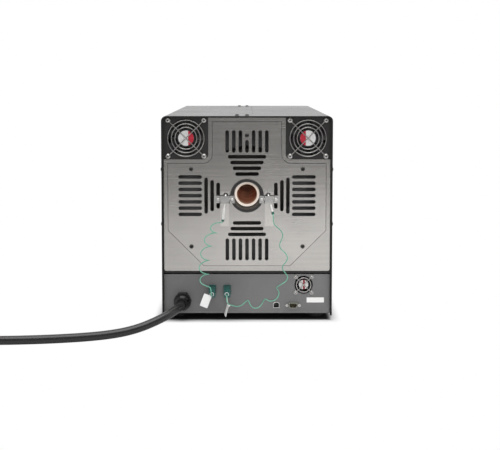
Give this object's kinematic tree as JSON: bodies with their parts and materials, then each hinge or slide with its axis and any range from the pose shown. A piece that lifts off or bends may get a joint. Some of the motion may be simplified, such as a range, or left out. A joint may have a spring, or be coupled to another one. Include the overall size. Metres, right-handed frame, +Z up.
{
  "type": "tube furnace",
  "caption": "Benchtop horizontal tube furnace: painted sheet housing round a ceramic tube, with slotted steel end plates, cooling fans, probe leads, connectors and a mains cord.",
  "frame": {"origin": "centre of the footprint of the housing and its probes, on the bench", "axes": "+Z up, -Y towards the service side with the fans and connectors, +X to the right as that side is seen"},
  "size_m": [0.8804, 0.7723, 0.4124],
  "materials": {
    "cover_paint": "semi-gloss charcoal powder coat",
    "chassis_paint": "satin charcoal paint",
    "panel_paint": "satin dark grey paint",
    "stainless": "brushed",
    "zinc_sheet": "dull zinc plate",
    "black_screw": "black oxide",
    "bright_metal": "bright plated",
    "probe_metal": "drawn stainless",
    "alumina": "matt alumina",
    "fibre": "rigid white fibre",
    "fan_plastic": "satin moulded",
    "green_plastic": "moulded",
    "dark_green": "moulded",
    "lead_green": "extruded",
    "paper": "plain card",
    "cord_rubber": "matt",
    "black_nylon": "moulded",
    "foot_rubber": "matt",
    "socket_shell": "nickel plate",
    "display_glass": "smoked lens",
    "key_plastic": "moulded",
    "board": "solder mask"
  },
  "bodies": {
    "housing": {"base_pan": "zinc_sheet", "divider_shelf": "zinc_sheet", "left_cover": "cover_paint", "right_cover": "cover_paint", "feet": "foot_rubber", "cover_screws": "black_screw", "rear_chassis_panel": "chassis_paint", "rear_steel_panel": "stainless", "rear_vent_plate": "stainless", "panel_screws": "black_screw", "connector_panel": "panel_paint", "front_chassis_panel": "chassis_paint", "front_vent_plate": "stainless", "control_panel": "panel_paint", "furnace_tube": "alumina", "tube_collars": "chassis_paint", "heater_shells": "alumina", "insulation_shells": "fibre", "furnace_drum": "zinc_sheet", "drum_cradles": "zinc_sheet", "small_fan_frame": "fan_plastic", "small_fan_guard": "bright_metal", "fan_screws": "bright_metal", "left_probe": "probe_metal", "right_probe": "probe_metal", "probe_boots": "dark_green", "probe_plates": "stainless", "probe_straps": "bright_metal", "strap_screws": "bright_metal", "probe_sockets": "green_plastic", "left_plug": "green_plastic", "right_plug": "green_plastic", "left_lead": "lead_green", "right_lead": "lead_green", "cable_tags": "paper", "tag_ties": "paper", "usb_socket": "socket_shell", "serial_socket": "socket_shell", "serial_posts": "bright_metal", "gland_body": "black_nylon", "gland_nut": "black_nylon", "mains_cord": "cord_rubber", "mains_coil": "cord_rubber", "mains_tie": "black_nylon", "mains_plug": "cord_rubber", "display_window": "display_glass", "switch_frame": "black_nylon", "control_board": "board", "power_supply": "zinc_sheet", "left_fan_frame": "fan_plastic", "left_fan_guard": "bright_metal", "right_fan_frame": "fan_plastic", "right_fan_guard": "bright_metal"},
    "left_fan_rotor": {"left_fan_rotor": "fan_plastic"},
    "right_fan_rotor": {"right_fan_rotor": "fan_plastic"},
    "small_fan_rotor": {"small_fan_rotor": "fan_plastic"},
    "key_down": {"key_down": "key_plastic"},
    "key_up": {"key_up": "key_plastic"},
    "key_set": {"key_set": "key_plastic"},
    "switch_rocker": {"switch_rocker": "black_nylon"}
  },
  "joints": [
    {"name": "left_fan_spin", "type": "hinge", "parent": "housing", "child": "left_fan_rotor", "pos_m": [-0.1212, -0.268, 0.3658], "axis": [0, 1, 0], "continuous": true},
    {"name": "right_fan_spin", "type": "hinge", "parent": "housing", "child": "right_fan_rotor", "pos_m": [0.1212, -0.268, 0.3658], "axis": [0, 1, 0], "continuous": true},
    {"name": "small_fan_spin", "type": "hinge", "parent": "housing", "child": "small_fan_rotor", "pos_m": [0.1138, -0.268, 0.0702], "axis": [0, 1, 0], "continuous": true},
    {"name": "key_down_press", "type": "slide", "parent": "housing", "child": "key_down", "axis": [0, -1, 0], "range_m": [0, 0.0015], "stiffness_N_per_m": 600},
    {"name": "key_up_press", "type": "slide", "parent": "housing", "child": "key_up", "axis": [0, -1, 0], "range_m": [0, 0.0015], "stiffness_N_per_m": 600},
    {"name": "key_set_press", "type": "slide", "parent": "housing", "child": "key_set", "axis": [0, -1, 0], "range_m": [0, 0.0015], "stiffness_N_per_m": 600},
    {"name": "switch_rock", "type": "hinge", "parent": "housing", "child": "switch_rocker", "pos_m": [0.132, 0.3015, 0.05], "axis": [1, 0, 0], "range_deg": [0, 16]}
  ]
}
